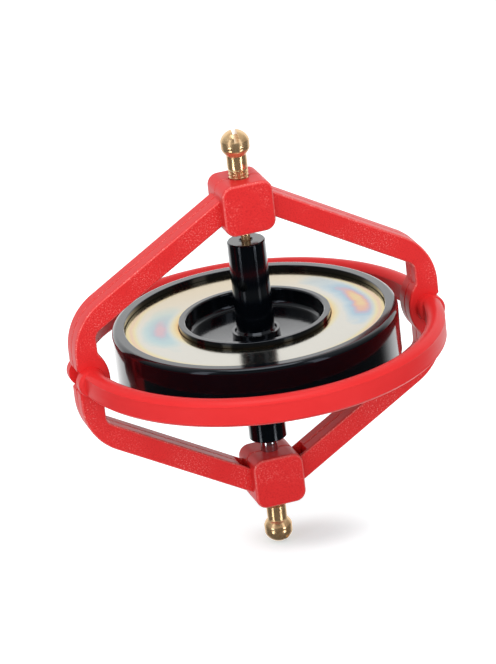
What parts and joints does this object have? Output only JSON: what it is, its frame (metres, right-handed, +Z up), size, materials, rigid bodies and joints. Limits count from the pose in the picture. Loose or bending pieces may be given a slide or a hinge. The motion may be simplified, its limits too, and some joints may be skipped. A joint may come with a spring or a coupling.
{
  "type": "gyroscope",
  "caption": "Hand-held demonstration gyroscope: a weighted disc rotor on a tall hub, spinning between ball-headed pivot screws inside a ring and an upright loop.",
  "frame": {"origin": "tip of the lower ball head, on the spin axis, where the gyroscope stands while it spins", "axes": "+Z up along the spin axis, +X to the right along the upright loop, -Y towards the front cage half"},
  "size_m": [0.0764, 0.0766, 0.088],
  "materials": {
    "cage_plastic": "moulded, fine grain on the flat faces, semi-gloss elsewhere",
    "turned_brass": "turned, bright",
    "rotor_plastic": "high gloss",
    "plated_steel": "bright zinc plate with a faint rainbow film",
    "axle_steel": "ground bright"
  },
  "bodies": {
    "cage": {"front_cage_half": "cage_plastic", "rear_cage_half": "cage_plastic"},
    "upper_screw": {"upper_pivot_screw": "turned_brass"},
    "lower_screw": {"lower_pivot_screw": "turned_brass"},
    "rotor": {"rotor_wheel": "rotor_plastic", "upper_weight_ring": "plated_steel", "lower_weight_ring": "plated_steel", "rotor_axle": "axle_steel"}
  },
  "joints": [
    {"name": "rotor_spin", "type": "hinge", "parent": "cage", "child": "rotor", "pos_m": [0, 0, 0.044], "axis": [0, 0, 1], "continuous": true},
    {"name": "upper_screw_turn", "type": "hinge", "parent": "cage", "child": "upper_screw", "pos_m": [0, 0, 0.0731], "axis": [0, 0, 1], "range_deg": [-90, 90]},
    {"name": "lower_screw_turn", "type": "hinge", "parent": "cage", "child": "lower_screw", "pos_m": [0, 0, 0.0149], "axis": [0, 0, 1], "range_deg": [-90, 90]}
  ]
}
